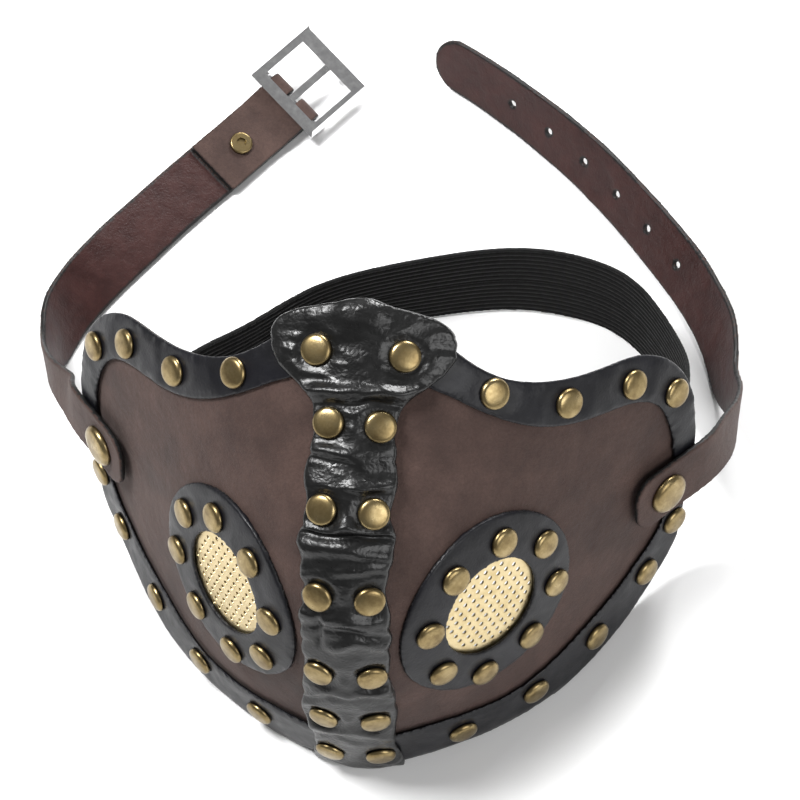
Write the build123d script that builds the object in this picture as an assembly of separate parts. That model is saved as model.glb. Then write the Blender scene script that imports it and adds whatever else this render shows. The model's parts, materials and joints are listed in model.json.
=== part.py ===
from build123d import *
import math
import os

# A half-face masquerade mask of faux leather, in millimetres.  It stands on its
# chin rim, leaning back, with its two neck straps lying on the table behind it
# and an elastic head band between them.
#
# The mask is laid out face up: x across, v up the nose, height h towards the
# front.  tip_up() then leans it back by LEAN on its rim.  In the finished frame
# +Z is up, the nose points to -Y and the table is z = 0.

# ---- driving dimensions ----------------------------------------------------
LEAN = 30.0            # the face plane leans back this far from the table
LIFT = 96.0            # height of the layout origin above the table
STAND_Y = 25.5         # brings the chin rim's foot over the frame's origin

PANEL_T = 1.8          # faux leather side panel
TRIM_T = 1.2           # edge trims and vent rings
STRIP_T = 2.4          # folded centre strip, laid over the trim ends
STRIP_GAP = 0.06       # glue line under the centre strip
MESH_T = 0.5           # perforated vent disc
SEAM_GAP = 0.2         # between the two panels under the centre strip

RIDGE_START = 5.0      # the nose ridge starts to fall away below this v
RIDGE_RATE = 0.00232
RIDGE_POWER = 2.4
SWEEP_X = 70.0         # the cheek sweep is measured at this x
SWEEP_JAW = 91.5       # how far the jaw sweeps back at SWEEP_X
SWEEP_BROW = 42.5      # and the top edge
SWEEP_V0, SWEEP_V1 = -35.0, 45.0
RIDGE_ROUND = 4.0      # rounding of the nose ridge

RING_R = 27.0          # vent ring, outside
VENT_R = 14.3          # visible mesh
MESH_R = 17.5
MESH_PITCH_U, MESH_PITCH_V, MESH_HOLE_R = 2.3, 2.7, 0.65
RING_RIVET_R = 20.7
RING_RIVETS = 8

RIVET_CAP_R, RIVET_CAP_H = 4.0, 2.0
STRAP_CAP_R, STRAP_CAP_H = 5.8, 2.8
POST_R, POST_GAP = 1.4, 0.08
BACK_R, BACK_H = 3.4, 1.2
SEAT_GAP = 0.15        # flat rivet faces stand this far off the curved leather
RIDGE_SEAT_GAP = 0.35  # and more where the panels turn sharply at the ridge

STRAP_W, STRAP_T = 18.0, 1.6
STRAP_LIFT = 1.75      # inner face of a strap above the panel at its rivet
BAND_W, BAND_T = 25.0, 1.2
BAND_SINK = 5.0        # inner face of the elastic below the panel at the rivet
HOLE_COUNT, HOLE_PITCH, HOLE_START, HOLE_R = 6, 15.0, 30.0, 1.1

BUCKLE_W, SIDE_BAR, BUCKLE_T = 26.4, 2.7, 2.2
BUCKLE_NEAR, BUCKLE_FAR = -5.6, 19.4   # frame ends, from the heel bar
NEAR_BAR, FAR_BAR = 3.4, 5.6
FRAME_RISE = 3.0       # underside of the frame over the heel bar's axis
HEEL_R = 0.9
FOLD_GAP = 0.25
TAB_LEN = 34.0
TAB_RIVET_U = -22.0
SLOT_W = 3.4
PRONG_W, PRONG_T, PRONG_GAP = 2.2, 1.1, 0.08

# ---- where things sit, on the laid-out mask (x, v) --------------------------
TOP_EDGE = [(0, 46.5), (14, 46), (24, 39.6), (33, 35.4), (43, 35.0), (52, 37.4), (60, 41.2),
            (67, 44.1), (73, 43.8), (78.5, 39.6), (81.3, 31), (81.8, 20), (81, 12)]
TOP_INNER = [(6, 32.5), (16.4, 31.2), (26, 27.8), (34, 25), (43.8, 23.8), (52, 25.4), (60, 29),
             (66.6, 31.8), (71.2, 31.8), (75.2, 26.5), (76.6, 19), (76.6, 12)]
BOTTOM_EDGE = [(80.2, 6), (79, -2), (75.5, -11), (70, -21.5), (63.5, -32), (56, -41.5),
               (48, -50.5), (38, -58.5), (26, -65), (13, -69.5), (0, -72)]
BOTTOM_INNER = [(76.3, 6), (73.5, -2), (68, -12.2), (61.5, -22.5), (54.5, -31.5), (41.8, -45.2),
                (24, -54.5), (6, -61)]
STRIP_EDGE = [(0, 50), (12, 49), (22.3, 43.5), (22, 37), (16.5, 31), (10.8, 25), (9.6, 17), (11, 8),
              (10.1, 0), (11.5, -8), (10, -18), (11, -30), (10.4, -42), (11.8, -52), (10.6, -62),
              (11.5, -71), (8, -76), (0, -76.5)]
STRAP_RIVET = (73.3, 10.7)
VENT = (34.0, -22.5)
TOP_RIVETS = [(31.7, 31.2), (49.2, 30.6), (64.6, 36.6), (75.2, 35.6)]
BOTTOM_RIVETS = [(77.0, 2.2), (70.6, -12.4), (58.9, -30.6), (44.4, -45.8), (26.6, -57.4)]
STRIP_RIVETS = [(10.3, 38.2), (5.9, 20.8), (5.7, -0.2), (5.6, -20.8), (6.0, -40.2), (6.0, -52.8),
                (6.1, -63.6)]
TRIM_START = 6.0       # the trims run under the centre strip up to this x

# ---- routes on the table: (x, y, lean outwards), lower edge on the table -----
TIP_ROUTE = [(88.5, 97, 16), (86.2, 109.5, 27), (81.7, 120.4, 31), (74.7, 131.8, 33),
             (62.5, 147, 31), (49.9, 161.2, 29), (31.8, 177.7, 24), (13.5, 191.5, 20), (-5.9, 203.4, 17)]
BUCKLE_ROUTE = [(-102.2, 91, 15), (-101.7, 99, 29), (-99, 109.3, 42), (-95, 118.5, 54),
                (-87.5, 131.3, 63), (-77.4, 146.4, 68), (-69.4, 157.2, 69), (-58.3, 171.8, 69),
                (-47.3, 186.4, 69)]
BAND_ROUTE = [(72, 103, 6), (60, 116.5, 10), (45, 122.5, 12), (26, 123.6, 11), (6, 119.5, 9),
              (-12, 114, 7), (-29, 106, 6), (-45, 93, 5)]
# stations between the cheek and the table: centre, then lower edge to upper edge
TIP_DROP = [((89.6, 64.5, 34.5), (-0.1, 0.2, 0.96)), ((91.6, 75.5, 25.8), (0, 0.12, 0.99)),
            ((91.2, 86.5, 16.5), (0.12, 0.05, 0.98))]
BUCKLE_DROP = [((-89.5, 62, 34.5), (0.3, 0.02, 0.94)), ((-96.3, 71.5, 26.5), (0.2, -0.08, 0.96)),
               ((-101, 81.5, 17), (0.02, -0.05, 1))]
BAND_DROP_R = [((79.5, 66, 31), (-0.1, 0.1, 0.98)), ((78.5, 85, 21), (0.05, 0.02, 1))]
BAND_DROP_L = [((-61, 74, 21), (-0.05, 0.05, 1)), ((-72, 58, 30), (0.1, 0.1, 0.98))]

DEEP = 130.0           # longer than any cut through the mask


# ---- the shape of the face ---------------------------------------------------
def smoothstep(t):
    t = min(max(t, 0.0), 1.0)
    return t * t * (3 - 2 * t)


def face_height(x, v):
    """Height of the outer panel face over the layout plane."""
    ridge = RIDGE_RATE * max(RIDGE_START - v, 0.0) ** RIDGE_POWER
    rise = smoothstep((v - SWEEP_V0) / (SWEEP_V1 - SWEEP_V0))
    sweep = SWEEP_JAW - (SWEEP_JAW - SWEEP_BROW) * rise
    power = 1.5 + 0.35 * min(max((v + 50.0) / 85.0, 0.0), 1.0)
    bend = (x * x + RIDGE_ROUND ** 2) ** (power / 2) - RIDGE_ROUND ** power
    return -ridge - sweep * bend / SWEEP_X ** power


def face_plane(x, v):
    """Plane on the outer panel face, its z along the outward normal."""
    step = 0.5
    across = Vector(2 * step, 0, face_height(x + step, v) - face_height(x - step, v))
    along = Vector(0, 2 * step, face_height(x, v + step) - face_height(x, v - step))
    return Plane(origin=(x, v, face_height(x, v)), x_dir=across, z_dir=across.cross(along))


def face_sheet(x0, x1, columns, lift=0.0):
    """Curved sheet over the outer face from x0 to x1, lifted off it a little."""
    v0, v1, rows = -80.0, 54.0, 25
    grid = []
    for i in range(columns):
        x = x0 + (x1 - x0) * i / (columns - 1)
        planes = [face_plane(x, v0 + (v1 - v0) * j / (rows - 1)) for j in range(rows)]
        grid.append([p.origin + p.z_dir * lift for p in planes])
    return Face.make_surface_from_array_of_points(grid, tol=0.02, min_deg=3)


def layer(sheet, height):
    """Solid on the sheet, height thick: positive outwards, negative inwards."""
    outwards = 1.0 if sheet.normal_at(sheet.position_at(0.5, 0.5)).Z > 0 else -1.0
    return thicken(sheet, amount=outwards * height)


def tip_up(shape):
    """Lean the laid-out mask back and stand it on the table."""
    return Pos(0, 0, LIFT) * (Rot(LEAN, 0, 0) * shape)


def tip_plane(plane):
    """The same move for a plane."""
    return Plane(Location((0, 0, LIFT), (LEAN, 0, 0)) * plane.location)


def off_table(shape):
    """Cut a laid-out shape flush with the table that it will stand on."""
    under = Pos(0, 0, -50) * Box(400, 400, 100)
    return shape - Rot(-LEAN, 0, 0) * (Pos(0, 0, -LIFT) * under)


# ---- outlines ----------------------------------------------------------------
def side(points, sign):
    return [(sign * x, v) for x, v in points]


def prism(face):
    return extrude(face, amount=DEEP, dir=(0, 0, 1), both=True)


def loop_face(curves):
    """Face inside curves that run head to tail, joined by straight lines."""
    edges = []
    for here, after in zip(curves, curves[1:] + curves[:1]):
        edges.append(here.edge())
        if (here @ 1 - after @ 0).length > 0.001:
            edges.append(Line(here @ 1, after @ 0).edge())
    return make_face(edges)


def panel_prism(sign):
    """One half of the mask's outline."""
    outline = loop_face([Spline(*side(TOP_EDGE, sign)), Spline(*side(BOTTOM_EDGE, sign))])
    half = Pos(sign * (50 + SEAM_GAP / 2), 0) * Rectangle(100, 260)
    return prism(outline & half)


def trim_prism(edge, inner, sign):
    """The stretch between an edge of the mask and its trim's inner line."""
    outline = loop_face([Spline(*side(edge, sign)), Spline(*side(inner[::-1], sign))])
    reach = Pos(sign * (50 + TRIM_START), 0) * Rectangle(100, 260)
    return prism(outline & reach)


def strip_prism():
    right = Spline(*STRIP_EDGE)
    left = Spline(*side(STRIP_EDGE[::-1], -1))
    return prism(loop_face([right, left]))


# ---- fasteners -----------------------------------------------------------------
def rivet_cap(seat, cap_r, cap_h, post_end):
    """Domed head on its post, seat above the face, post_end below it."""
    base = seat + SEAT_GAP
    dome_r = (cap_r ** 2 + cap_h ** 2) / (2 * cap_h)
    ball = Pos(0, 0, base + cap_h - dome_r) * Sphere(dome_r)
    head = ball & Pos(0, 0, base + cap_h) * Cylinder(cap_r + 1, 2 * cap_h)
    post_len = base + post_end + 0.2
    return head + Pos(0, 0, base + 0.2 - post_len / 2) * Cylinder(POST_R, post_len)


def rivet_back(inner, back_r=BACK_R):
    """Inner half of a rivet, a rounded disc that takes the end of the post."""
    top = -(inner + SEAT_GAP)
    disc = Pos(0, 0, top - BACK_H / 2) * Cylinder(back_r, BACK_H)
    rim = disc.edges().filter_by(GeomType.CIRCLE).sort_by(Axis.Z)[0]
    disc = fillet(rim, BACK_H * 0.45)
    return disc - Pos(0, 0, top) * Cylinder(POST_R + POST_GAP, 1.4 * BACK_H)


def post_end(inner):
    """Depth that a post reaches below the face, inside its back."""
    return inner + SEAT_GAP + 0.6 * BACK_H


def drill(plane):
    return plane * Cylinder(POST_R + POST_GAP, 24)


def ring_places():
    """Rivets around the vent, as (x, v) on the laid-out mask."""
    plane = face_plane(*VENT)
    places = []
    for k in range(RING_RIVETS):
        turn = math.radians(360 / RING_RIVETS * (k + 0.5))
        spot = plane.from_local_coords((RING_RIVET_R * math.cos(turn), RING_RIVET_R * math.sin(turn), 0))
        places.append((spot.X, spot.Y))
    return places


# ---- soft bands: straps and elastic ---------------------------------------------
def table_stations(points, width, thick):
    """Stations (centre, across) of a band whose lower edge lies on the table."""
    stations = []
    for i, (x, y, lean) in enumerate(points):
        x0, y0 = points[max(i - 1, 0)][:2]
        x1, y1 = points[min(i + 1, len(points) - 1)][:2]
        away = Vector(y1 - y0, x0 - x1, 0).normalized()
        away = away if away.dot(Vector(x, y - 90, 0)) > 0 else away * -1
        tilt = math.radians(lean)
        across = Vector(0, 0, math.cos(tilt)) + away * math.sin(tilt)
        height = width / 2 * math.cos(tilt) + thick * math.sin(tilt) + 0.3
        stations.append((Vector(x, y, height), across))
    return stations


def band_edges(stations, width):
    """Lower and upper edge of a band's inner face."""
    lower = [Vector(*c) - Vector(*w).normalized() * width / 2 for c, w in stations]
    upper = [Vector(*c) + Vector(*w).normalized() * width / 2 for c, w in stations]
    return Edge.make_spline(lower), Edge.make_spline(upper)


def band_plane(edges, share):
    """Plane on the inner face part way along: x along, y lower to upper edge."""
    lower, upper = edges
    low, high = lower @ share, upper @ share
    along = (lower % share) + (upper % share)
    return Plane(origin=(low + high) / 2, x_dir=along, z_dir=along.cross(high - low))


def band_solid(edges, thick):
    """Ruled band, its thickness away from the middle of the loop."""
    ruled = Face.make_surface_from_curves(*edges)
    middle = band_plane(edges, 0.5).origin
    away = Vector(middle.X, middle.Y - 90, -10)
    near = ruled.normal_at(middle)
    return thicken(ruled, amount=thick if near.dot(away) > 0 else -thick)


def end_cut(plane, radius, width, sign):
    """Tool that rounds a band's end at the plane's origin, sign 1 cuts ahead."""
    block = Pos(sign * 20, 0) * Rectangle(40 + 2 * radius, width + 14)
    keep = Pos(-sign * 40, 0) * RectangleRounded(80, width + 0.1, radius)
    return plane * extrude(block - keep, amount=8, both=True)


def cheek_frame(sign):
    """Strap rivet's plane on the standing mask, and a strap's two directions."""
    plane = tip_plane(face_plane(sign * STRAP_RIVET[0], STRAP_RIVET[1]))
    aim = Vector(sign * 0.589, 0.789, -0.171)
    along = (aim - plane.z_dir * aim.dot(plane.z_dir)).normalized()
    across = plane.z_dir.cross(along)
    return plane, along, across if across.Z > 0 else across * -1


def cheek_stations(sign, lift, reach):
    """Straight start of a band at the strap rivet, lift above the face."""
    plane, along, across = cheek_frame(sign)
    root = plane.origin + plane.z_dir * lift
    return [(root + along * s, across) for s in reach]


# ---- the mask shell --------------------------------------------------------------
def save(shape, name, placed=False):
    """Write one node, standing the laid-out pieces up first."""
    shape = shape if placed else tip_up(shape)
    pieces = [shape] if hasattr(shape, "solids") else shape
    solids = [Pos(0, STAND_Y, 0) * solid for piece in pieces for solid in piece.solids()]
    export_step(Compound(children=solids) if len(solids) > 1 else solids[0], f"parts/{name}.step")


def vent_cylinder(sign, radius):
    return face_plane(sign * VENT[0], VENT[1]) * Cylinder(radius, 50)


def mesh_disc(mesh_under, sign):
    """Thin metal disc, perforated in staggered rows."""
    disc = mesh_under & vent_cylinder(sign, MESH_R)
    holes = Sketch()
    rows = int(VENT_R / MESH_PITCH_U)
    for row in range(-rows, rows + 1):
        shift = MESH_PITCH_V / 2 if row % 2 else 0
        for step in range(-rows, rows + 1):
            u, v = row * MESH_PITCH_U, step * MESH_PITCH_V + shift
            if math.hypot(u, v) < VENT_R - MESH_HOLE_R - 0.3:
                holes += Pos(u, v) * Circle(MESH_HOLE_R)
    return disc - face_plane(sign * VENT[0], VENT[1]) * extrude(holes, amount=6, both=True)


def build_half(sign, name):
    """Panel, trims, vent and their rivets on one side."""
    sheet = face_sheet(0, 90, 19)
    sheet = sheet if sign > 0 else sheet.mirror(Plane.YZ)
    panel_under, trim_over = layer(sheet, -PANEL_T), layer(sheet, TRIM_T)
    mesh_under = layer(sheet, -MESH_T)
    groups = {
        "top_trim_rivet": (TOP_RIVETS, TRIM_T),
        "bottom_trim_rivet": (BOTTOM_RIVETS, TRIM_T),
        "vent_rivet": (ring_places(), TRIM_T),
    }
    drills = [drill(face_plane(sign * x, v)) for x, v in STRIP_RIVETS + [STRAP_RIVET]]
    for label, (places, seat) in groups.items():
        planes = [face_plane(sign * x, v) for x, v in places]
        drills += [drill(p) for p in planes]
        cap = rivet_cap(seat, RIVET_CAP_R, RIVET_CAP_H, post_end(PANEL_T))
        back = rivet_back(PANEL_T)
        save(Compound(children=[tip_up(p * cap) for p in planes]), f"{label}_caps_{name}", True)
        save(Compound(children=[tip_up(p * back) for p in planes]), f"{label}_backs_{name}", True)
    vent_hole = vent_cylinder(sign, VENT_R + 0.4)
    mesh_seat = mesh_under & vent_cylinder(sign, MESH_R + 0.1)
    panel = (panel_under & panel_prism(sign)) - [vent_hole, mesh_seat] - drills
    save(off_table(panel), f"panel_{name}")
    save(mesh_disc(mesh_under, sign), f"vent_mesh_{name}")
    ring = (trim_over & vent_cylinder(sign, RING_R)) - vent_cylinder(sign, VENT_R) - drills
    save(ring, f"vent_ring_{name}")
    top = (trim_over & trim_prism(TOP_EDGE, TOP_INNER, sign)) - drills
    save(top, f"top_trim_{name}")
    bottom = (trim_over & trim_prism(BOTTOM_EDGE, BOTTOM_INNER, sign)) - drills
    save(off_table(bottom), f"bottom_trim_{name}")
    return [top, bottom]


def build_strip(trims):
    """Folded centre strip over the seam, recessed over the trim ends."""
    places = [(s * x, v) for s in (-1, 1) for x, v in STRIP_RIVETS]
    planes = [face_plane(x, v) for x, v in places]
    sheet = face_sheet(-32, 32, 17, STRIP_GAP)
    strip = (layer(sheet, STRIP_T) & strip_prism()) - trims - [drill(p) for p in planes]
    save(off_table(strip), "centre_strip")
    inner = PANEL_T + RIDGE_SEAT_GAP
    cap = rivet_cap(STRIP_T, RIVET_CAP_R, RIVET_CAP_H, post_end(inner))
    back = rivet_back(inner)
    save(Compound(children=[tip_up(p * cap) for p in planes]), "strip_rivet_caps", True)
    save(Compound(children=[tip_up(p * back) for p in planes]), "strip_rivet_backs", True)


# ---- straps, buckle and elastic ------------------------------------------------------
def build_strap_rivet(sign, name):
    """Large rivet that a strap swivels on; it also holds the elastic's end."""
    plane = cheek_frame(sign)[0]
    print("strap rivet", name, plane.origin, plane.z_dir)
    inner = BAND_SINK + RIDGE_SEAT_GAP
    save(plane * rivet_cap(STRAP_LIFT + STRAP_T, STRAP_CAP_R, STRAP_CAP_H, post_end(inner)),
         f"strap_rivet_cap_{name}", True)
    save(plane * rivet_back(inner, 4.6), f"strap_rivet_back_{name}", True)


def strap_edges(sign, drop, route):
    start = cheek_stations(sign, STRAP_LIFT, (-11, -3, 6, 15))
    return band_edges(start + drop + table_stations(route, STRAP_W, STRAP_T), STRAP_W)


def build_tip_strap():
    """Right strap with a rounded tip and punched holes."""
    edges = strap_edges(1, TIP_DROP, TIP_ROUTE)
    strap = band_solid(edges, STRAP_T)
    length = (edges[0].length + edges[1].length) / 2
    tools = [end_cut(band_plane(edges, 0.001), 6.5, STRAP_W, -1),
             end_cut(band_plane(edges, 0.999), 8.9, STRAP_W, 1), drill(cheek_frame(1)[0])]
    for k in range(HOLE_COUNT):
        share = 1 - (HOLE_START + k * HOLE_PITCH) / length
        tools.append(band_plane(edges, share) * Cylinder(HOLE_R, 12))
    save(strap - tools, "tip_strap", True)
    print("tip strap length", round(length, 1))


def buckle_plane(edges):
    """Plane on the heel bar's axis: x towards the frame's far end, z up."""
    plane = band_plane(edges, 0.995)
    up = plane.z_dir if plane.z_dir.Z > 0 else plane.z_dir * -1
    return Plane(origin=plane.origin + up * (HEEL_R + FOLD_GAP), x_dir=plane.x_dir, z_dir=up)


def fold_profile():
    """Side view of the strap's end: a run, a turn round the bar and the tab."""
    near, far = HEEL_R + FOLD_GAP, HEEL_R + FOLD_GAP + STRAP_T
    run = make_face(Polyline((-2, -far), (0, -far), (0, -near), (-2, -near), close=True))
    turn = (Circle(far) - Circle(near)) & Pos(far, 0) * Rectangle(2 * far, 3 * far)
    down = 0.15 - near
    tab = make_face(Polyline((0, near), (-3, near), (-13, down), (-TAB_LEN, down),
                             (-TAB_LEN, down + STRAP_T), (-12.6, down + STRAP_T), (-3, far), (0, far),
                             close=True))
    return run + turn + tab


def side_on(plane):
    """Plane of a side view of the buckle: x along the strap, y up."""
    return Plane(origin=plane.origin, x_dir=plane.x_dir, z_dir=plane.x_dir.cross(plane.z_dir))


def build_buckle_strap():
    """Left strap, folded round the heel bar and riveted back on itself."""
    edges = strap_edges(-1, BUCKLE_DROP, BUCKLE_ROUTE)
    plane = buckle_plane(edges)
    side_view = side_on(plane)
    beyond = plane * (Pos(48, 0, -2) * Box(100, 40, 30))
    strap = band_solid(edges, STRAP_T) - beyond
    strap -= [end_cut(band_plane(edges, 0.001), 6.5, STRAP_W, -1), drill(cheek_frame(-1)[0])]
    fold = side_view * extrude(fold_profile(), amount=STRAP_W / 2, both=True)
    slot = plane * Box(9, SLOT_W, 12)
    spot = plane * Pos(TAB_RIVET_U, 0, 0)
    bore = spot * Cylinder(POST_R + POST_GAP, 12)
    save(strap + fold - [slot, bore], "buckle_strap", True)
    print("buckle strap length", round((edges[0].length + edges[1].length) / 2, 1))
    print("heel bar", plane.origin, plane.y_dir, plane.z_dir)
    build_tab_rivet(spot)
    build_buckle(plane, side_view)


def build_tab_rivet(spot):
    """Small rivet through the strap and its tab, open at the inner end."""
    outer = -(HEEL_R + FOLD_GAP + STRAP_T)
    inner = 0.15 - HEEL_R - FOLD_GAP + STRAP_T
    head = Cylinder(RIVET_CAP_R - 0.5, 1.1)
    head = fillet(head.edges().filter_by(GeomType.CIRCLE).sort_by(Axis.Z)[0], 0.5)
    post_len = inner - outer + 1.2
    cap = Pos(0, 0, outer - 0.9) * head + Pos(0, 0, outer - 0.6 + post_len / 2) * Cylinder(POST_R, post_len)
    back = Pos(0, 0, inner + 0.65) * Cylinder(BACK_R, BACK_H)
    back = fillet(back.edges().filter_by(GeomType.CIRCLE).sort_by(Axis.Z)[-1], BACK_H * 0.45)
    back = back - Pos(0, 0, inner + 0.65) * Cylinder(POST_R + POST_GAP, 2 * BACK_H)
    save(spot * cap, "tab_rivet_cap", True)
    save(spot * back, "tab_rivet_back", True)


def build_buckle(plane, side_view):
    """Square frame with bevelled bars, a heel bar under it, and the prong."""
    length = BUCKLE_FAR - BUCKLE_NEAR
    middle = (BUCKLE_FAR + BUCKLE_NEAR) / 2
    height = FRAME_RISE + BUCKLE_T / 2
    frame = Pos(middle, 0, height) * Box(length, BUCKLE_W, BUCKLE_T)
    top_rim = frame.edges().group_by(Axis.Z)[-1]
    frame = chamfer(top_rim, 1.1)
    window = length - NEAR_BAR - FAR_BAR
    window_mid = BUCKLE_NEAR + NEAR_BAR + window / 2
    hole = Pos(window_mid, 0, height) * Box(window, BUCKLE_W - 2 * SIDE_BAR, 2 * BUCKLE_T)
    frame -= hole
    lug = Box(3.4, SIDE_BAR - 0.4, FRAME_RISE + 1.4)
    for way in (-1, 1):
        frame += Pos(0, way * (BUCKLE_W - SIDE_BAR) / 2, (FRAME_RISE - 1) / 2) * lug
    frame += Rot(90, 0, 0) * Cylinder(HEEL_R, BUCKLE_W - 2)
    save(plane * frame, "buckle_frame", True)
    eye_in, eye_out = HEEL_R + PRONG_GAP, HEEL_R + PRONG_GAP + PRONG_T
    tip_u = BUCKLE_FAR - FAR_BAR + 1.6
    top = FRAME_RISE - 0.12
    bar = make_face(Polyline((0, eye_in + 0.1), (4, top - PRONG_T - 0.2), (tip_u, top - PRONG_T + 0.3),
                             (tip_u, top), (4, top - 0.1), (0, eye_out), close=True))
    eye = Circle(eye_out) - Circle(eye_in)
    prong = extrude(eye + bar - Circle(eye_in), amount=PRONG_W / 2, both=True)
    save(side_view * prong, "buckle_prong", True)


def build_elastic():
    """Ribbed elastic band, one end held inside each cheek."""
    plane_lift = -BAND_SINK + BAND_T
    start = cheek_stations(1, plane_lift, (-9, 0, 9))
    finish = cheek_stations(-1, plane_lift, (9, 0, -9))
    route = table_stations(BAND_ROUTE, BAND_W, BAND_T)
    edges = band_edges(start + BAND_DROP_R + route + BAND_DROP_L + finish, BAND_W)
    band = band_solid(edges, -BAND_T) - [drill(cheek_frame(1)[0]), drill(cheek_frame(-1)[0])]
    save(band, "elastic_band", True)
    print("elastic length", round((edges[0].length + edges[1].length) / 2, 1))


os.makedirs("parts", exist_ok=True)
trims = build_half(-1, "left") + build_half(1, "right")
build_strip(trims)
for sign, name in ((-1, "left"), (1, "right")):
    build_strap_rivet(sign, name)
build_tip_strap()
build_buckle_strap()
build_elastic()
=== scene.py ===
import bmesh
import bpy
import json
import math
import numpy as np
from mathutils import Matrix, Vector, noise
from mathutils.bvhtree import BVHTree
from mathutils.kdtree import KDTree


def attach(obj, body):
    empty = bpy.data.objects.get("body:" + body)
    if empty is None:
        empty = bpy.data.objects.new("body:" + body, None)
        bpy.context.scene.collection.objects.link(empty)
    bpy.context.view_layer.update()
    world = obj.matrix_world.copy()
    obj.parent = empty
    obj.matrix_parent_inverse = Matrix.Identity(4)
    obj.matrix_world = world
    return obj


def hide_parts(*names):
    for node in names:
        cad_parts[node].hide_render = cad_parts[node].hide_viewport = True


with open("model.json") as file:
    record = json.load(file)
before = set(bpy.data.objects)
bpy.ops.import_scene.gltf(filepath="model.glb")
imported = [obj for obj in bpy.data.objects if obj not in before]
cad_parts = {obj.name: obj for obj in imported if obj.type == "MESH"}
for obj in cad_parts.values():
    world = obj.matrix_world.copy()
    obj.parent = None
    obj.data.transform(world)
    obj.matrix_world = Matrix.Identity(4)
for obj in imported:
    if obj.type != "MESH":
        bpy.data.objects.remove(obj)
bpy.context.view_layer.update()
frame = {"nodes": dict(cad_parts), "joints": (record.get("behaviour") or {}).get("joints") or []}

# A half-face masquerade mask of faux leather.  The leather, straps and elastic
# are remade here from the CAD solids with soft edges, puckers, folds and ribs;
# rivets, vent meshes and the buckle are the CAD's own, with metal materials.
# Names ending in _MM are millimetres; everything handed to Blender is metres.

MM = 0.001
LEAN = math.radians(30)                   # the face plane leans back this far
FACE_ORIGIN_MM = Vector((0, 25.5, 96))    # origin of the laid-out face, where v = 0
UP_FACE = Vector((0, math.cos(LEAN), math.sin(LEAN)))
HEAD_CENTRE = Vector((0, 0.1155, 0.02))   # the leather faces away from here
PANEL_T_MM, TRIM_T_MM, STRIP_T_MM = 1.8, 1.2, 2.4
STRAP_T_MM, BAND_T_MM = 1.6, 1.2
TAB_DROP_MM, TAB_LENGTH_MM = 1.0, 35.0    # the folded tab: its underside below the heel bar, its length
RIB_PITCH_MM, RIB_MM = 1.55, 0.09         # ribs along the elastic
CAP_R_MM = 3.8                            # leather starts to rise this far from a rivet's middle
FOLD_GAIN, CREASE_MM = 1.35, 0.9          # depth of the strip's folds and of its one crease
SIDES = ("left", "right")


# ---- camera, light and floor -------------------------------------------------
def add_camera():
    """Camera above the front, a little to the right, slightly rolled."""
    data = bpy.data.cameras.new("camera")
    data.lens, data.sensor_width = 129.8, 36
    camera = bpy.data.objects.new("camera", data)
    right, up, back = (0.9914, 0.1216, -0.0481), (-0.0808, 0.8590, 0.5056), (0.1028, -0.4974, 0.8614)
    turn = Matrix((right, up, back)).transposed().to_4x4()
    camera.matrix_world = Matrix.Translation((0.0822, -0.2982, 0.7119)) @ turn
    bpy.context.scene.collection.objects.link(camera)
    bpy.context.scene.camera = camera


def add_area(name, place, target, size, power):
    data = bpy.data.lights.new(name, "AREA")
    data.size, data.energy = size, power
    light = bpy.data.objects.new(name, data)
    light.location = place
    light.rotation_euler = (Vector(target) - Vector(place)).to_track_quat("-Z", "Y").to_euler()
    bpy.context.scene.collection.objects.link(light)


def add_studio():
    """Pale floor, white surroundings and three soft lights."""
    world = bpy.data.worlds.new("studio")
    world.use_nodes = True
    world.node_tree.nodes["Background"].inputs["Color"].default_value = (1, 1, 1, 1)
    world.node_tree.nodes["Background"].inputs["Strength"].default_value = 0.27
    bpy.context.scene.world = world
    bpy.context.scene.view_settings.view_transform = "Standard"
    middle = (0, 0.08, 0.04)
    add_area("key", (-0.45, 0.12, 0.95), middle, 0.28, 12.5)
    add_area("back", (0.25, 0.85, 0.70), middle, 0.35, 11.0)
    add_area("fill", (0.65, -0.40, 0.60), middle, 0.60, 4.5)
    mesh = bpy.data.meshes.new("floor")
    reach = 3.0
    corners = [(-reach, -reach, 0), (reach, -reach, 0), (reach, reach, 0), (-reach, reach, 0)]
    mesh.from_pydata(corners, [], [(0, 1, 2, 3)])
    floor = bpy.data.objects.new("floor", mesh)
    bpy.context.scene.collection.objects.link(floor)
    mesh.materials.append(floor_material())


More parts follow.
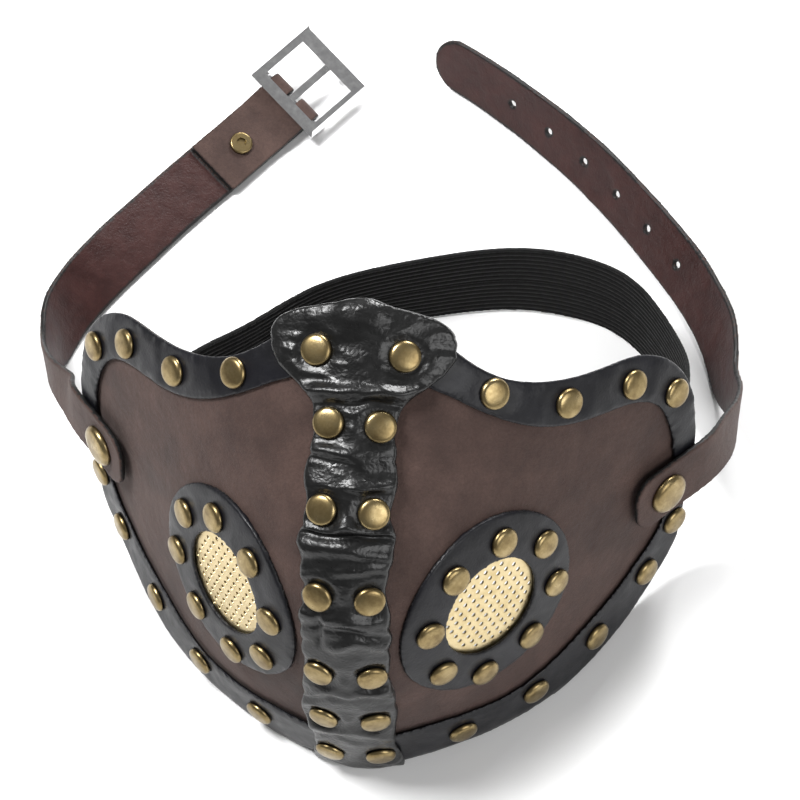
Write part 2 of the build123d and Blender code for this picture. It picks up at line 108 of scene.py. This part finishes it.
# ---- material building blocks ----------------------------------------------------
class Look:
    """A material with a Principled shader, built one node at a time."""

    def __init__(self, name, **values):
        self.material = bpy.data.materials.new(name)
        self.material.use_nodes = True
        self.tree = self.material.node_tree
        self.shader = self.tree.nodes["Principled BSDF"]
        for socket, value in values.items():
            self.shader.inputs[socket.replace("_", " ")].default_value = value
        self.place = self.tree.nodes.new("ShaderNodeTexCoord").outputs["Object"]

    def noise(self, scale, detail=4.0, roughness=0.55, stretch=None):
        """Noise over the object, about 1/scale metres to a feature."""
        node = self.tree.nodes.new("ShaderNodeTexNoise")
        node.inputs["Scale"].default_value = scale
        node.inputs["Detail"].default_value = detail
        node.inputs["Roughness"].default_value = roughness
        place = self.place
        if stretch:
            mapping = self.tree.nodes.new("ShaderNodeMapping")
            mapping.inputs["Scale"].default_value = stretch
            self.tree.links.new(place, mapping.inputs["Vector"])
            place = mapping.outputs["Vector"]
        self.tree.links.new(place, node.inputs["Vector"])
        return node.outputs["Fac"]

    def cells(self, scale, feature="DISTANCE_TO_EDGE"):
        node = self.tree.nodes.new("ShaderNodeTexVoronoi")
        node.feature = feature
        node.inputs["Scale"].default_value = scale
        self.tree.links.new(self.place, node.inputs["Vector"])
        return node.outputs["Distance"]

    def edge_distance(self):
        """Millimetres from the nearest cut edge, measured on the mesh."""
        node = self.tree.nodes.new("ShaderNodeAttribute")
        node.attribute_name = "edge_mm"
        return node.outputs["Fac"]

    def ramp(self, factor, *stops):
        """Colour ramp; each stop is a place and a grey level or a colour."""
        node = self.tree.nodes.new("ShaderNodeValToRGB")
        elements = node.color_ramp.elements
        while len(elements) < len(stops):
            elements.new(0.5)
        for element, (place, colour) in zip(elements, stops):
            element.position = place
            element.color = (colour,) * 3 + (1,) if isinstance(colour, float) else (*colour, 1)
        self.tree.links.new(factor, node.inputs["Fac"])
        return node.outputs["Color"]

    def math(self, operation, first, second=0.0):
        node = self.tree.nodes.new("ShaderNodeMath")
        node.operation = operation
        for socket, value in zip(node.inputs, (first, second)):
            if isinstance(value, float):
                socket.default_value = value
            else:
                self.tree.links.new(value, socket)
        return node.outputs["Value"]

    def mix(self, factor, first, second):
        """first where factor is 0, second where it is 1."""
        node = self.tree.nodes.new("ShaderNodeMix")
        node.data_type = "RGBA"
        self.tree.links.new(factor, node.inputs["Factor"])
        for socket, colour in ((node.inputs["A"], first), (node.inputs["B"], second)):
            target = [s for s in node.inputs if s.name == socket.name and s.type == "RGBA"][0]
            if isinstance(colour, tuple):
                target.default_value = (*colour, 1)
            else:
                self.tree.links.new(colour, target)
        return [s for s in node.outputs if s.type == "RGBA"][0]

    def bump(self, height, depth_mm, under=None):
        node = self.tree.nodes.new("ShaderNodeBump")
        node.inputs["Distance"].default_value = depth_mm * MM
        self.tree.links.new(height, node.inputs["Height"])
        if under:
            self.tree.links.new(under, node.inputs["Normal"])
        return node.outputs["Normal"]

    def use(self, colour=None, roughness=None, normal=None):
        for name, source in (("Base Color", colour), ("Roughness", roughness), ("Normal", normal)):
            if source:
                self.tree.links.new(source, self.shader.inputs[name])
        return self.material


# ---- materials ---------------------------------------------------------------------
def floor_material():
    look = Look("pale_floor", Roughness=0.9)
    return look.use(look.ramp(look.noise(3.0), (0.3, 0.86), (0.7, 0.88)))


def suede_material():
    """Brushed brown faux leather, cloudy, with a short nap."""
    look = Look("brown_suede", Sheen_Weight=0.06, Sheen_Roughness=0.5, Specular_IOR_Level=0.15)
    cloud = look.noise(70.0, 5.0, 0.6)
    colour = look.ramp(cloud, (0.3, (0.045, 0.027, 0.023)), (0.7, (0.092, 0.057, 0.048)))
    speck = look.ramp(look.noise(1400.0, 2.0), (0.35, 0.72), (0.65, 1.0))
    worn = look.mix(look.ramp(look.edge_distance(), (0.0, 1.0), (0.6, 0.0)), colour, (0.030, 0.020, 0.018))
    shaded = look.mix(speck, (0.026, 0.017, 0.015), worn)
    nap = look.bump(look.noise(2600.0, 3.0, 0.7), 0.16)
    grain = look.bump(look.noise(420.0, 3.0), 0.25, nap)
    return look.use(shaded, look.ramp(cloud, (0.2, 0.62), (0.8, 0.78)), grain)


def oxblood_material():
    """Smooth dark red-brown inside of a strap, painted black along its edges."""
    look = Look("oxblood_inside", Specular_IOR_Level=0.28)
    fibre = look.noise(160.0, 6.0, 0.65)
    colour = look.ramp(fibre, (0.3, (0.022, 0.0062, 0.0055)), (0.72, (0.044, 0.014, 0.012)))
    ragged = look.math("ADD", look.edge_distance(), look.math("MULTIPLY", look.noise(500.0), 0.7))
    painted = look.mix(look.ramp(look.math("MULTIPLY", ragged, 0.4), (0.42, 1.0), (0.62, 0.0)),
                       colour, (0.010, 0.009, 0.009))
    pores = look.bump(look.noise(1500.0, 3.0, 0.6), 0.10)
    return look.use(painted, look.ramp(fibre, (0.2, 0.36), (0.8, 0.52)), look.bump(fibre, 0.35, pores))


def strap_edge_material():
    look = Look("painted_edge", Specular_IOR_Level=0.25)
    colour = look.ramp(look.noise(300.0), (0.3, 0.006), (0.7, 0.014))
    return look.use(colour, look.ramp(look.noise(900.0), (0.3, 0.35), (0.7, 0.55)),
                    look.bump(look.noise(1200.0), 0.12))


def trim_material():
    """Smooth black faux leather, satin, with a painted highlight, partly edge wear, along its cut edges.
    """
    look = Look("black_trim", Specular_IOR_Level=0.26)
    cloud = look.noise(90.0, 4.0)
    colour = look.ramp(cloud, (0.3, (0.0035, 0.0035, 0.0048)), (0.7, (0.0075, 0.0075, 0.0105)))
    # Grey rim within 0.5 mm of the cut edges: a painted highlight along the edge, partly edge wear showing
    # the pale backing.
    edge = look.ramp(look.edge_distance(), (0.0, 1.0), (0.5, 0.0))
    rim_highlight_and_wear = look.mix(look.math("MULTIPLY", edge, 0.5), colour, (0.05, 0.05, 0.055))
    pebble = look.bump(look.cells(900.0), 0.05)
    return look.use(rim_highlight_and_wear, look.ramp(look.noise(260.0), (0.3, 0.34), (0.7, 0.44)),
                    look.bump(look.noise(170.0, 2.0), 0.14, pebble))


def strip_material():
    """Gathered black faux leather, glossy, with fine crackle."""
    look = Look("black_strip", Specular_IOR_Level=0.42)
    cloud = look.noise(120.0, 5.0)
    colour = look.ramp(cloud, (0.3, 0.0025), (0.7, 0.006))
    crackle = look.bump(look.cells(750.0), 0.10)
    creases = look.bump(look.noise(260.0, 3.0, 0.5, stretch=(0.7, 1.5, 1.5)), 0.22, crackle)
    return look.use(colour, look.ramp(look.noise(400.0, 5.0), (0.25, 0.24), (0.75, 0.38)), creases)


def raw_edge_material(thread=0.35):
    """Cut edge of the black leather: dark film over pale backing threads."""
    look = Look("raw_edge" if thread > 0.2 else "dark_edge", Specular_IOR_Level=0.2)
    threads = look.ramp(look.noise(1300.0, 3.0, 0.7), (0.50, 0.010), (0.62, thread))
    return look.use(threads, look.ramp(look.noise(700.0), (0.3, 0.6), (0.7, 0.85)),
                    look.bump(look.noise(1500.0), 0.2))


def lining_material():
    """Dark felted backing inside the mask."""
    look = Look("felt_lining", Sheen_Weight=0.2)
    felt = look.noise(900.0, 6.0, 0.75)
    return look.use(look.ramp(felt, (0.3, 0.016), (0.7, 0.045)), look.ramp(felt, (0.3, 0.85), (0.7, 0.98)),
                    look.bump(felt, 0.25))


def elastic_material():
    """Black braided elastic: ribs along it, fine picks across, with painted shade in the grooves between
    ribs.
    """
    look = Look("ribbed_elastic", Sheen_Weight=0.04, Specular_IOR_Level=0.12)
    turns = look.math("MULTIPLY", look.edge_distance(), 2 * math.pi / RIB_PITCH_MM)
    rib = look.math("SINE", turns)
    # The colour follows the ribs, darker in their troughs and lighter on their crests: painted shade in
    # the grooves.
    colour = look.ramp(look.math("ADD", rib, look.noise(900.0)), (0.0, 0.003), (1.0, 0.009))
    weave = look.bump(look.noise(1800.0, 2.0, 0.5, stretch=(1.0, 1.0, 0.45)), 0.18)
    roughness = look.ramp(look.noise(600.0), (0.3, 0.72), (0.7, 0.88))
    return look.use(colour, roughness, look.bump(rib, 0.12, weave))


def antique_brass_material():
    """Antique brass plate: brown patina, rubbed brighter in clouds."""
    look = Look("antique_brass", Metallic=1.0)
    patina = look.noise(260.0, 6.0, 0.65)
    colour = look.ramp(patina, (0.28, (0.13, 0.090, 0.040)), (0.50, (0.24, 0.180, 0.085)),
                       (0.78, (0.38, 0.300, 0.160)))
    scuffs = look.noise(2200.0, 3.0, 0.6, stretch=(1.0, 0.25, 1.0))
    return look.use(colour, look.ramp(patina, (0.25, 0.40), (0.75, 0.24)), look.bump(scuffs, 0.02))


def mesh_brass_material():
    look = Look("pale_brass_mesh", Metallic=1.0)
    tint = look.noise(300.0, 4.0)
    colour = look.ramp(tint, (0.3, (0.50, 0.39, 0.20)), (0.7, (0.68, 0.57, 0.35)))
    return look.use(colour, look.ramp(tint, (0.3, 0.30), (0.7, 0.44)), look.bump(look.noise(1500.0), 0.03))


def chrome_material():
    look = Look("bright_chrome", Metallic=1.0)
    haze = look.noise(500.0, 5.0, 0.6)
    colour = look.ramp(haze, (0.3, (0.76, 0.76, 0.77)), (0.7, (0.92, 0.92, 0.92)))
    return look.use(colour, look.ramp(haze, (0.3, 0.07), (0.7, 0.16)),
                    look.bump(look.noise(900.0, 3.0, stretch=(0.3, 1.0, 1.0)), 0.004))


# ---- soft pieces from the CAD solids ---------------------------------------------
OUTER, INNER, EDGE = 0, 1, 2


def remade(name, node, voxel_mm, rounds):
    """Even, soft-edged copy of a CAD node's mesh, as a new object."""
    piece = bpy.data.objects.new(name, frame["nodes"][node].data.copy())
    bpy.context.scene.collection.objects.link(piece)
    remesh = piece.modifiers.new("even", "REMESH")
    remesh.mode, remesh.voxel_size = "VOXEL", voxel_mm * MM
    relax = piece.modifiers.new("relax", "SMOOTH")
    relax.iterations = rounds
    shown = piece.evaluated_get(bpy.context.evaluated_depsgraph_get())
    mesh = bpy.data.meshes.new_from_object(shown)
    mesh.name = name
    piece.modifiers.clear()
    piece.data = mesh
    mesh.materials.clear()
    mesh.shade_smooth()
    return piece


def away_from_head(place):
    return (place - HEAD_CENTRE).normalized()


def away_level(place):
    """Away from the middle of the strap loop, level with the table."""
    return Vector((place.x, place.y - HEAD_CENTRE.y, 0)).normalized()


def sort_faces(piece, thickness_mm, away, materials):
    """Gives each face its outer, inner or edge material, and each vertex edge_mm."""
    mesh = piece.data
    for material in materials:
        mesh.materials.append(material)
    tree = BVHTree.FromPolygons([v.co for v in mesh.vertices], [tuple(f.vertices) for f in mesh.polygons])
    reach, skin = 3.4 * thickness_mm * MM, 0.05 * MM
    rims = []
    for face in mesh.polygons:
        hit = tree.ray_cast(face.center - face.normal * skin, -face.normal, reach)
        if hit[0] is None:
            face.material_index = EDGE
            rims.append(face.center.copy())
        else:
            face.material_index = OUTER if face.normal.dot(away(face.center)) > 0 else INNER
    near = KDTree(len(rims))
    for index, place in enumerate(rims):
        near.insert(place, index)
    near.balance()
    distances = [near.find(v.co)[2] / MM for v in mesh.vertices]
    mesh.attributes.new("edge_mm", "FLOAT", "POINT").data.foreach_set("value", distances)
    return distances


def islands(node):
    """Vertex places of each separate solid in a CAD node."""
    mesh = bmesh.new()
    mesh.from_mesh(frame["nodes"][node].data)
    bmesh.ops.remove_doubles(mesh, verts=mesh.verts, dist=0.001 * MM)
    groups, seen = [], set()
    for start in mesh.verts:
        if start in seen:
            continue
        seen.add(start)
        group, queue = [], [start]
        while queue:
            vertex = queue.pop()
            group.append(vertex.co.copy())
            fresh = [edge.other_vert(vertex) for edge in vertex.link_edges]
            fresh = [other for other in fresh if other not in seen]
            seen.update(fresh)
            queue += fresh
        groups.append(group)
    mesh.free()
    return groups


def cap_frame(places):
    """Middle of a rivet cap's rim, its outward axis, radius and height."""
    middle = sum(places, Vector()) / len(places)
    offsets = np.array([place - middle for place in places])
    spread, directions = np.linalg.eigh(offsets.T @ offsets)
    odd_one = 0 if spread[1] - spread[0] > spread[2] - spread[1] else 2
    axis = Vector(directions[:, odd_one])
    axis = axis if axis.dot(away_from_head(middle)) > 0 else -axis
    heights = [(place - middle).dot(axis) for place in places]
    radii = [(place - middle - axis * h).length for place, h in zip(places, heights)]
    radius = max(radii)
    rim = [h for h, r in zip(heights, radii) if r > 0.98 * radius]
    base = sum(rim) / len(rim)
    return middle + axis * base, axis, radius, max(heights) - base


def smoothstep(low, high, value):
    t = min(max((value - low) / (high - low), 0.0), 1.0)
    return t * t * (3 - 2 * t)


def rivet_tree(spots):
    """Lookup of the nearest rivet."""
    tree = KDTree(len(spots))
    for index, place in enumerate(spots):
        tree.insert(place, index)
    tree.balance()
    return tree


def face_place(place):
    """A point as (x, v) on the laid-out face, in millimetres."""
    at = place / MM - FACE_ORIGIN_MM
    return at.x, at.y * math.cos(LEAN) + at.z * math.sin(LEAN)


def wobble(place):
    """Slow unevenness shared by every layer of the mask, in millimetres."""
    return 0.30 * noise.noise(place / (17 * MM)) + 0.10 * noise.noise(place / (5 * MM))


def push(piece, distances, height):
    """Moves each vertex away from the head by height(place, edge distance, facing) mm."""
    normals = [v.normal.copy() for v in piece.data.vertices]
    for vertex, normal, edge in zip(piece.data.vertices, normals, distances):
        away = away_from_head(vertex.co)
        facing = max(normal.dot(away), 0.0)
        vertex.co += away * height(vertex.co.copy(), edge, facing) * MM
    piece.data.update()


def dress(piece, node, body):
    """The piece moves with the body and stands for the CAD node."""
    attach(piece, body)
    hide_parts(node)


# ---- the mask ----------------------------------------------------------------------
def rivet_gap(rivets, place):
    """Millimetres from the nearest rivet's middle."""
    return rivets.find(place)[2] / MM


def build_panel(side, rivets):
    """Brown face panel with a felt lining, flat only at its rivets."""
    piece = remade(f"panel_leather_{side}", f"panel_{side}", 0.7, 4)
    materials = [LOOKS["suede"], LOOKS["lining"], LOOKS["dark_edge"]]
    distances = sort_faces(piece, PANEL_T_MM, away_from_head, materials)

    def height(place, edge, facing):
        return wobble(place) * smoothstep(4, 9, rivet_gap(rivets, place))

    push(piece, distances, height)
    dress(piece, f"panel_{side}", "mask")


def build_trim(node, rivets, puff):
    """Black trim or vent ring, puffed a little between its rivets."""
    piece = remade(f"{node}_leather", node, 0.5, 5)
    materials = [LOOKS["trim"], LOOKS["trim"], LOOKS["dark_edge"]]
    distances = sort_faces(piece, TRIM_T_MM, away_from_head, materials)

    def height(place, edge, facing):
        gap = smoothstep(3.6, 9, rivet_gap(rivets, place))
        pucker = 0.22 * noise.noise(place / (3.5 * MM)) * smoothstep(10, 5, rivet_gap(rivets, place))
        crown = puff * smoothstep(0, 3, edge)
        return gap * wobble(place) + facing * gap * (crown + pucker)

    push(piece, distances, height)
    dress(piece, node, "mask")


# folds of the centre strip: v at x = 0, slope, x from, x to, height mm, width mm
FOLDS = [
    (47.0, 0.0, -6, 5, 0.9, 3.5), (29.0, 0.06, -15, 15, 1.0, 1.5), (25.6, 0.06, -12, 12, -0.7, 1.1),
    (33.5, -0.5, 2, 14, 0.5, 2.2), (13.6, -0.12, -12, 1, 0.7, 1.4), (11.0, -0.12, -12, 0, -0.4, 1.0),
    (6.4, 0.12, 0, 12, 0.8, 1.3), (9.0, 0.1, 2, 12, -0.3, 1.2), (-4.4, 0.04, -12, 12, 0.9, 1.5),
    (-6.6, 0.04, -12, 12, -1.0, 0.9), (-10.0, -0.05, -12, 12, 0.6, 1.8), (-14.5, 0.1, -3, 12, 0.5, 1.3),
    (-27.0, -0.1, -12, 12, 0.6, 1.6), (-30.0, -0.1, -12, 6, -0.5, 1.0), (-33.6, 0.1, -4, 12, 0.6, 1.4),
    (-46.4, 0.05, -12, 12, 0.7, 1.5), (-48.6, 0.05, -12, 12, -0.5, 0.9), (-58.2, -0.05, -12, 12, 0.7, 1.4),
    (-60.4, -0.05, -12, 8, -0.4, 0.8),
]


def fold_height(x, v):
    """Height of the strip's folds at a place on the laid-out face, in millimetres."""
    total = 0.0
    for v0, slope, x0, x1, tall, wide in FOLDS:
        wander = 1.2 * noise.noise(Vector((x / 6, v0, 0)))
        window = smoothstep(x0 - 3, x0 + 2, x) * smoothstep(x1 + 3, x1 - 2, x)
        total += tall * window * math.exp(-((v - v0 - slope * x - wander) / wide) ** 2)
    crease = math.exp(-((x + 6.4 + 0.05 * (v + 26)) / 0.9) ** 2)
    crease *= smoothstep(-36, -32, v) * smoothstep(-18, -21, v)
    return FOLD_GAIN * total - CREASE_MM * crease


def build_strip(rivets):
    """Centre strip: gathered leather, puffed, folded and wavy-edged."""
    piece = remade("centre_strip_leather", "centre_strip", 0.5, 6)
    materials = [LOOKS["strip"], LOOKS["strip"], LOOKS["raw_edge"]]
    distances = sort_faces(piece, STRIP_T_MM, away_from_head, materials)

    def height(place, edge, facing):
        x, v = face_place(place)
        gap = smoothstep(CAP_R_MM, CAP_R_MM + 2.7, rivet_gap(rivets, place))
        puff = 0.55 * smoothstep(0, 3.5, edge)
        ridges = 0.5 - abs(noise.noise(Vector((x / 9, v / 3.4, 2.5))))
        fine = noise.noise(Vector((x / 4, v / 1.7, 8.5)))
        wave = 0.45 * noise.noise(Vector((x / 8, v / 5, 5.5)))
        folds = fold_height(x, v) * (0.55 + 0.45 * smoothstep(0, 3, edge))
        return facing * gap * (puff + 0.55 * ridges + 0.14 * fine + wave + folds)

    push(piece, distances, height)
    for vertex in piece.data.vertices:
        x, v = face_place(vertex.co)
        sway = 1.5 * noise.noise(Vector((math.copysign(3, x), v / 5.5, 1.5)))
        vertex.co.x += math.copysign(sway, x) * smoothstep(6.5, 10.5, abs(x)) * MM
        lip = 1.6 * math.exp(-((x + 0.5) / 6.5) ** 2) + 0.5 * noise.noise(Vector((x / 5, 0, 3)))
        vertex.co += UP_FACE * lip * smoothstep(42, 49, v) * MM
    dress(piece, "centre_strip", "mask")


# ---- straps and elastic ----------------------------------------------------------------
def heel_frame():
    """The buckle's heel bar: a point on it, and up off the strap."""
    hinge = [j for j in frame["joints"] if j["name"] == "buckle_frame_hinge"][0]
    bar = Vector(hinge["axis"]).normalized()
    up = (Vector((0, 0, 1)) - bar * bar.z).normalized()
    return Vector(hinge["pos_m"]), up


def uneven(piece, away):
    """Slow handling waves over a strap, with faint fine ones on them."""
    for vertex in piece.data.vertices:
        slow = 0.16 * noise.noise(vertex.co / (12 * MM)) + 0.05 * noise.noise(vertex.co / (3 * MM))
        vertex.co += away(vertex.co) * slow * MM


def build_strap(node):
    """Neck strap: suede outside, oxblood inside, black edges; the tab shows suede."""
    piece = remade(f"{node}_leather", node, 0.45, 4)
    materials = [LOOKS["suede"], LOOKS["oxblood"], LOOKS["strap_edge"]]
    sort_faces(piece, STRAP_T_MM, away_level, materials)
    if node == "buckle_strap":
        heel, up = heel_frame()
        for face in piece.data.polygons:
            at = face.center - heel
            on_tab = at.length < TAB_LENGTH_MM * MM and at.dot(up) > -TAB_DROP_MM * MM
            if on_tab and face.normal.dot(up) > 0.5:
                face.material_index = OUTER
    uneven(piece, away_level)
    dress(piece, node, node)


def build_elastic():
    """Elastic head band, ribbed along its length."""
    piece = remade("elastic_webbing", "elastic_band", 0.4, 2)
    materials = [LOOKS["elastic"]] * 3
    distances = sort_faces(piece, BAND_T_MM, away_level, materials)
    normals = [v.normal.copy() for v in piece.data.vertices]
    for vertex, normal, edge in zip(piece.data.vertices, normals, distances):
        rib = RIB_MM * math.sin(2 * math.pi * edge / RIB_PITCH_MM)
        vertex.co += normal * rib * smoothstep(0, 1, edge) * MM
    dress(piece, "elastic_band", "mask")


# ---- metal -----------------------------------------------------------------------------
# rivet cap profile: share of the radius, share of the CAD dome's height
CAP_PROFILE = [(0.0, 0.80), (0.30, 0.79), (0.55, 0.755), (0.74, 0.69), (0.86, 0.60), (0.94, 0.46),
               (0.985, 0.28), (1.0, 0.10), (0.98, 0.0), (0.80, -0.06), (0.0, -0.06)]
CAP_SIDES = 36


def build_caps(node, frames):
    """Flat-topped, round-rimmed caps pressed over the posts of one rivet group."""
    mesh = bmesh.new()
    for rim, axis, radius, tall in frames:
        turn = axis.to_track_quat("Z", "Y")
        rings = []
        for share, rise in CAP_PROFILE:
            count = CAP_SIDES if share else 1
            ring = []
            for k in range(count):
                angle = 2 * math.pi * k / CAP_SIDES
                reach = radius * share
                spot = Vector((reach * math.cos(angle), reach * math.sin(angle), tall * rise))
                ring.append(mesh.verts.new(rim + turn @ spot))
            rings.append(ring)
        for here, after in zip(rings, rings[1:]):
            for k in range(CAP_SIDES):
                corners = [here[k % len(here)], after[k % len(after)],
                           after[(k + 1) % len(after)], here[(k + 1) % len(here)]]
                mesh.faces.new(list(dict.fromkeys(corners)))
    data = bpy.data.meshes.new(f"{node}_domes")
    mesh.to_mesh(data)
    mesh.free()
    data.materials.append(LOOKS["antique_brass"])
    data.shade_smooth()
    piece = bpy.data.objects.new(f"{node}_domes", data)
    bpy.context.scene.collection.objects.link(piece)
    dress(piece, node, "mask")


def finish_metal():
    """Metal materials on the CAD's own rivets, meshes and buckle."""
    for name, node in frame["nodes"].items():
        if "rivet" in name:
            look = LOOKS["antique_brass"]
        elif "mesh" in name:
            look = LOOKS["mesh_brass"]
        elif name in ("buckle_frame", "buckle_prong"):
            look = LOOKS["chrome"]
        else:
            continue
        node.data.materials.clear()
        node.data.materials.append(look)


LOOKS = {
    "suede": suede_material(), "oxblood": oxblood_material(), "strap_edge": strap_edge_material(),
    "trim": trim_material(), "strip": strip_material(), "raw_edge": raw_edge_material(),
    "dark_edge": raw_edge_material(0.06), "lining": lining_material(), "elastic": elastic_material(),
    "antique_brass": antique_brass_material(), "mesh_brass": mesh_brass_material(),
    "chrome": chrome_material(),
}

add_camera()
add_studio()
cap_nodes = [name for name in frame["nodes"] if "rivet_cap" in name and "tab" not in name]
cap_frames = {node: [cap_frame(places) for places in islands(node)] for node in cap_nodes}
rivets = rivet_tree([rim for frames in cap_frames.values() for rim, _, _, _ in frames])
for side in SIDES:
    build_panel(side, rivets)
    build_trim(f"top_trim_{side}", rivets, 0.35)
    build_trim(f"bottom_trim_{side}", rivets, 0.35)
    build_trim(f"vent_ring_{side}", rivets, 0.25)
build_strip(rivets)
build_strap("tip_strap")
build_strap("buckle_strap")
build_elastic()
for node, frames in cap_frames.items():
    build_caps(node, frames)
finish_metal()
